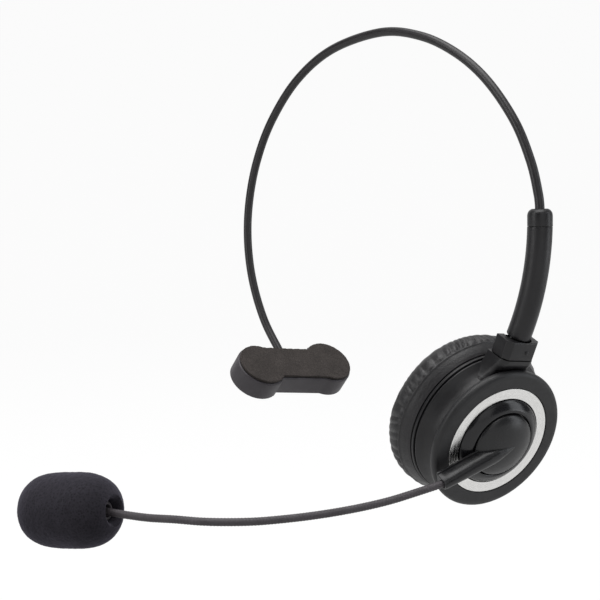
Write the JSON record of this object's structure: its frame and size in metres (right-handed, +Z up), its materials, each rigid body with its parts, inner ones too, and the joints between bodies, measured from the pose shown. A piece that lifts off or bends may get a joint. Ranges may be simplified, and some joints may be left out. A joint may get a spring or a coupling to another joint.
{
  "type": "office headset",
  "caption": "Single-ear headset: thin wire headband with a temple bar, slider arm, swivelling ear cup with a bright ring, and a flexible boom with a foam-covered microphone.",
  "frame": {"origin": "underside of the headband's crown, where it rests on the head", "axes": "+Z up; -Y the way the wearer faces; +X towards the ear cup's side"},
  "size_m": [0.1459, 0.1604, 0.1723],
  "materials": {
    "band_coating": "satin black coating",
    "satin_black_plastic": "satin moulded black",
    "gloss_black_plastic": "semi-gloss black",
    "temple_bar_plastic": "matte charcoal",
    "boom_rubber": "matte dark grey, finely ribbed",
    "leatherette": "soft black leatherette",
    "foam": "open-cell black foam",
    "pad_foam": "fine warm-black sheet foam",
    "scrim_cloth": "thin black acoustic cloth",
    "bright_trim": "bright, circularly brushed",
    "steel": "plain",
    "brass": "plain",
    "circuit_board": "green solder mask",
    "battery_foil": "foil pouch",
    "clear_lens": "translucent",
    "diaphragm_film": "thin film"
  },
  "bodies": {
    "headband": {"headband_sheath": "band_coating", "headband_core": "steel", "slider_shoe": "satin_black_plastic", "band_end_collar": "brass"},
    "temple_bar": {"temple_bar_shell": "temple_bar_plastic", "temple_bar_cover": "temple_bar_plastic", "temple_pad": "pad_foam", "temple_bar_screw_a": "steel", "temple_bar_screw_b": "steel"},
    "arm": {"arm_sleeve": "satin_black_plastic", "arm_cap": "satin_black_plastic", "arm_eye": "steel"},
    "cup_joint": {"swivel_core": "steel", "tilt_pin": "steel", "swivel_clip": "steel"},
    "cup": {"cup_housing": "satin_black_plastic", "yoke_block": "satin_black_plastic", "cup_front_plate": "satin_black_plastic", "accent_ring": "bright_trim", "status_light": "clear_lens", "circuit_board": "circuit_board", "battery": "battery_foil", "charge_port": "steel", "speaker_driver": "steel", "speaker_diaphragm": "diaphragm_film", "speaker_baffle": "satin_black_plastic", "ear_scrim": "scrim_cloth", "ear_cushion": "leatherette", "case_screw_a": "steel", "case_screw_b": "steel", "case_screw_c": "steel", "call_button_switch": "steel", "volume_up_button_switch": "steel", "volume_down_button_switch": "steel"},
    "call_key": {"call_button": "satin_black_plastic"},
    "volume_up_key": {"volume_up_button": "satin_black_plastic"},
    "volume_down_key": {"volume_down_button": "satin_black_plastic"},
    "boom": {"boom_hub_cover": "gloss_black_plastic", "boom_hub_base": "satin_black_plastic", "hub_retaining_ring": "steel", "boom_sheath_rear": "boom_rubber", "boom_wire_rear": "steel"},
    "boom_tip": {"boom_sheath_front": "boom_rubber", "boom_wire_front": "steel", "windscreen_foam": "foam", "mic_housing": "satin_black_plastic", "mic_capsule": "steel"}
  },
  "joints": [
    {"name": "headband_slide", "type": "hinge", "parent": "headband", "child": "arm", "pos_m": [-0.01687, 0, -0.06503], "axis": [0, 1, 0], "range_deg": [0, 15.5]},
    {"name": "cup_tilt", "type": "hinge", "parent": "arm", "child": "cup_joint", "pos_m": [0.06116, 0, -0.10385], "axis": [0, 1, 0], "range_deg": [-7, 7]},
    {"name": "cup_swivel", "type": "hinge", "parent": "cup_joint", "child": "cup", "pos_m": [0.06116, 0, -0.10385], "axis": [0.3811, 0, 0.9245], "range_deg": [-18.4, 41.6]},
    {"name": "boom_rotate", "type": "hinge", "parent": "cup", "child": "boom", "pos_m": [0.05396, 0, -0.13767], "axis": [0.9056, -0.2011, -0.3733], "range_deg": [-80, 205]},
    {"name": "boom_bend", "type": "hinge", "parent": "boom", "child": "boom_tip", "pos_m": [0.03621, -0.06545, -0.15548], "axis": [-0.0178, -0.0476, 0.9987], "range_deg": [-25, 25]},
    {"name": "temple_bar_turn", "type": "hinge", "parent": "headband", "child": "temple_bar", "pos_m": [-0.05112, 0, -0.11622], "axis": [-0.682, 0, 0.7314], "range_deg": [-12, 12]},
    {"name": "call_button_press", "type": "slide", "parent": "cup", "child": "call_key", "axis": [-0.2121, -0.9772, 0.012], "range_m": [0, 0.0004], "stiffness_N_per_m": 300},
    {"name": "volume_up_button_press", "type": "slide", "parent": "cup", "child": "volume_up_key", "axis": [-0.0149, -0.8949, 0.4461], "range_m": [0, 0.0004], "stiffness_N_per_m": 300},
    {"name": "volume_down_button_press", "type": "slide", "parent": "cup", "child": "volume_down_key", "axis": [0.145, -0.6805, 0.7183], "range_m": [0, 0.0004], "stiffness_N_per_m": 300}
  ]
}
